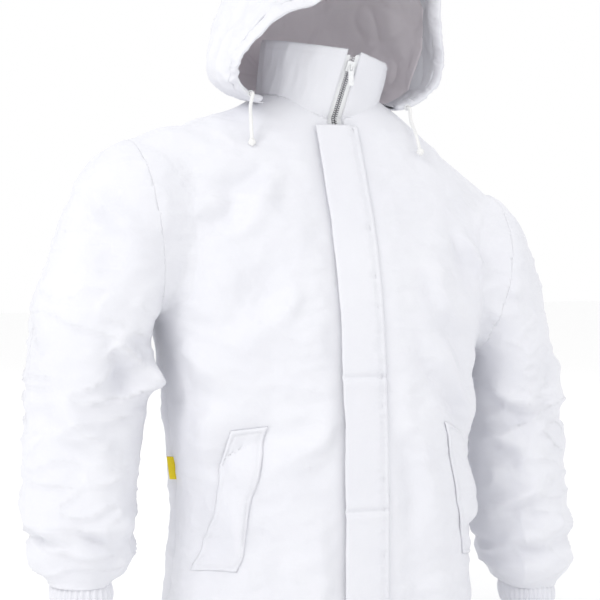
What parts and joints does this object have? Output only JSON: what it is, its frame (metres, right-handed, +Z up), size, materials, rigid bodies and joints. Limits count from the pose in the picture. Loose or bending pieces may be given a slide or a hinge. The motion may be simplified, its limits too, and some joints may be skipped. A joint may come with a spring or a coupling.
{
  "type": "hooded work jacket",
  "caption": "Hooded insulated work jacket, zipped, with snap-closed storm flap, slanted welt pockets, elastic cuffs and a drawcord hood.",
  "frame": {"origin": "middle of the hanger loop's lower edge, inside the back of the collar, where a hook carries the jacket", "axes": "+Z up, the front of the jacket faces -Y, +X is the wearer's left"},
  "size_m": [0.804, 0.3064, 0.9957],
  "materials": {
    "shell_cloth": "white polyester-cotton work cloth, matt",
    "lining_cloth": "pale quilted lining cloth, matt",
    "flap_cloth": "white polyester-cotton work cloth, matt",
    "ribbon": "white woven tape",
    "cord": "white braided cotton cord",
    "elastic": "white woven elastic",
    "label": "plain yellow woven tab",
    "zip_tape": "white knitted zip tape",
    "zip_coil": "white nylon coil",
    "enamel": "white enamel on zinc",
    "snap_metal": "nickel plate"
  },
  "bodies": {
    "jacket_body": {"back_panel": "shell_cloth", "back_lining": "lining_cloth", "front_panel_right": "shell_cloth", "front_panel_left": "shell_cloth", "front_lining_right": "lining_cloth", "front_lining_left": "lining_cloth", "hem_facing": "shell_cloth", "side_label": "label", "pocket_welt_right": "shell_cloth", "pocket_welt_left": "shell_cloth", "pocket_bag_right": "lining_cloth", "pocket_bag_left": "lining_cloth", "collar_outer": "shell_cloth", "collar_lining": "lining_cloth", "hanger_loop": "ribbon", "zip_tape_right": "zip_tape", "zip_tape_left": "zip_tape", "zip_coil_right": "zip_coil", "zip_coil_left": "zip_coil", "zip_pin": "enamel", "zip_box": "enamel", "snap_stud_1": "snap_metal", "snap_stud_2": "snap_metal", "snap_stud_3": "snap_metal", "snap_stud_4": "snap_metal", "snap_stud_5": "snap_metal"},
    "right_sleeve": {"sleeve_front_right": "shell_cloth", "sleeve_back_right": "shell_cloth", "sleeve_lining_right": "lining_cloth", "cuff_casing_right": "shell_cloth", "cuff_elastic_right": "elastic"},
    "left_sleeve": {"sleeve_front_left": "shell_cloth", "sleeve_back_left": "shell_cloth", "sleeve_lining_left": "lining_cloth", "cuff_casing_left": "shell_cloth", "cuff_elastic_left": "elastic"},
    "hood": {"hood_side_right": "shell_cloth", "hood_side_left": "shell_cloth", "hood_centre_panel": "shell_cloth", "hood_lining": "lining_cloth", "hood_front_casing": "shell_cloth", "hood_drawcord": "cord", "hood_eyelet_right": "enamel", "drawcord_tail_right": "cord", "drawcord_knot_right": "cord", "hood_eyelet_left": "enamel", "drawcord_tail_left": "cord", "drawcord_knot_left": "cord"},
    "flap": {"storm_flap": "flap_cloth", "flap_facing": "shell_cloth", "snap_socket_1": "snap_metal", "snap_socket_2": "snap_metal", "snap_socket_3": "snap_metal", "snap_socket_4": "snap_metal", "snap_socket_5": "snap_metal"},
    "slider": {"zip_slider": "enamel"},
    "pull": {"zip_pull": "enamel"}
  },
  "joints": [
    {"name": "hood_fold", "type": "hinge", "parent": "jacket_body", "child": "hood", "pos_m": [0, 0.0222, -0.016], "axis": [-1, 0, 0], "range_deg": [0, 60]},
    {"name": "right_sleeve_raise", "type": "hinge", "parent": "jacket_body", "child": "right_sleeve", "pos_m": [-0.262, -0.0518, -0.102], "axis": [0, 1, 0], "range_deg": [0, 45]},
    {"name": "left_sleeve_raise", "type": "hinge", "parent": "jacket_body", "child": "left_sleeve", "pos_m": [0.262, -0.0518, -0.102], "axis": [0, -1, 0], "range_deg": [0, 45]},
    {"name": "storm_flap_open", "type": "hinge", "parent": "jacket_body", "child": "flap", "pos_m": [0.0305, -0.2118, -0.324], "axis": [0, 0.069, 0.9976], "range_deg": [0, 75]},
    {"name": "zip_slider_travel", "type": "slide", "parent": "jacket_body", "child": "slider", "axis": [-0.173, 0.3244, -0.93], "range_m": [0, 0.036]},
    {"name": "zip_pull_swing", "type": "hinge", "parent": "slider", "child": "pull", "pos_m": [0.01228, -0.1382, 0.0167], "axis": [-1, 0, 0], "range_deg": [-5, 120]}
  ]
}
